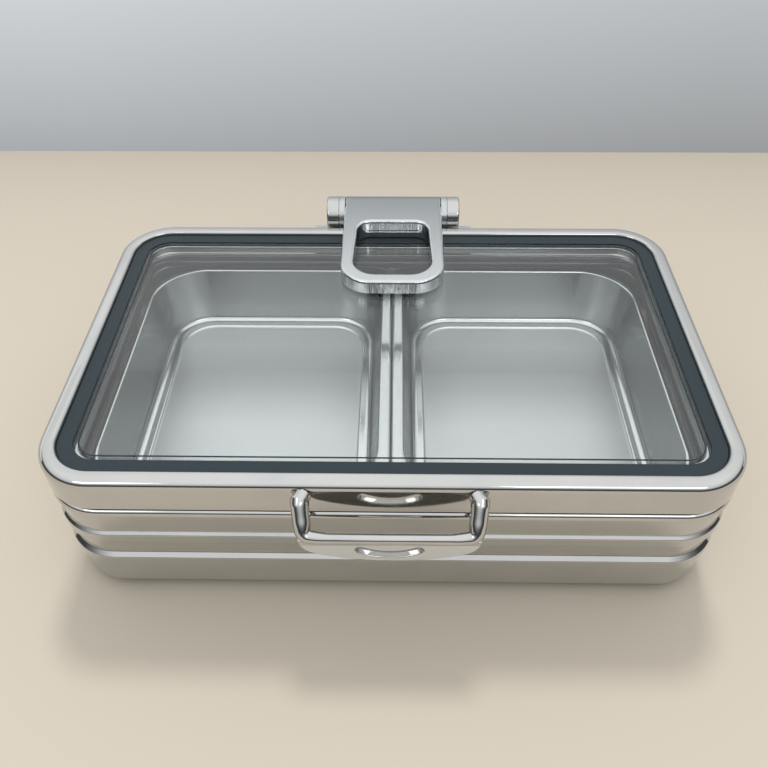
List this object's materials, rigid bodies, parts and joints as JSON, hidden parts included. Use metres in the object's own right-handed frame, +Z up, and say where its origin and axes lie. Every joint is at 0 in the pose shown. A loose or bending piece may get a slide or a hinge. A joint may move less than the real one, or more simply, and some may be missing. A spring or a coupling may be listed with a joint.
{
  "type": "buffet warmer",
  "caption": "Rectangular steel buffet warmer: a beaded water pan holding food pans under a hinged glass lid with a front handle, standing on a flat heating plate.",
  "frame": {"origin": "middle of the foot plate's underside, where the warmer stands on a table or a heater", "axes": "+X to the right seen from the front, -Y towards the user (the handle side), +Z up"},
  "size_m": [0.572, 0.427, 0.173],
  "materials": {
    "polished_steel": "mirror polished",
    "satin_steel": "satin",
    "pan_steel": "satin",
    "plate_steel": "ground",
    "fastener_steel": "satin",
    "glass": "clear, polished",
    "seal_rubber": "matt",
    "clear_pad": "matt",
    "damper_body": "matt"
  },
  "bodies": {
    "base": {"water_pan": "polished_steel", "foot_plate": "plate_steel", "hinge_bracket": "satin_steel", "bracket_studs": "fastener_steel", "bracket_spacers": "fastener_steel", "bracket_nuts": "fastener_steel", "hinge_shaft": "fastener_steel", "end_cap_left": "polished_steel", "end_cap_right": "polished_steel", "cap_grub_screws": "fastener_steel"},
    "lid": {"lid_frame": "polished_steel", "lid_glass": "glass", "glass_seal": "seal_rubber", "hinge_arm": "satin_steel", "damper_left": "damper_body", "damper_right": "damper_body", "frame_screws": "fastener_steel", "glass_pads": "clear_pad", "glass_washers": "fastener_steel", "glass_screws": "fastener_steel", "handle": "polished_steel", "handle_washers": "fastener_steel", "handle_screws": "fastener_steel"},
    "left_pan": {"food_pan_left": "pan_steel"},
    "right_pan": {"food_pan_right": "pan_steel"}
  },
  "joints": [
    {"name": "lid_hinge", "type": "hinge", "parent": "base", "child": "lid", "pos_m": [0, 0.2, 0.154], "axis": [-1, 0, 0], "range_deg": [0, 90]},
    {"name": "pan_left_lift", "type": "slide", "parent": "base", "child": "left_pan", "axis": [0, 0, 1], "range_m": [0, 0.025]},
    {"name": "pan_right_lift", "type": "slide", "parent": "base", "child": "right_pan", "axis": [0, 0, 1], "range_m": [0, 0.025]}
  ]
}
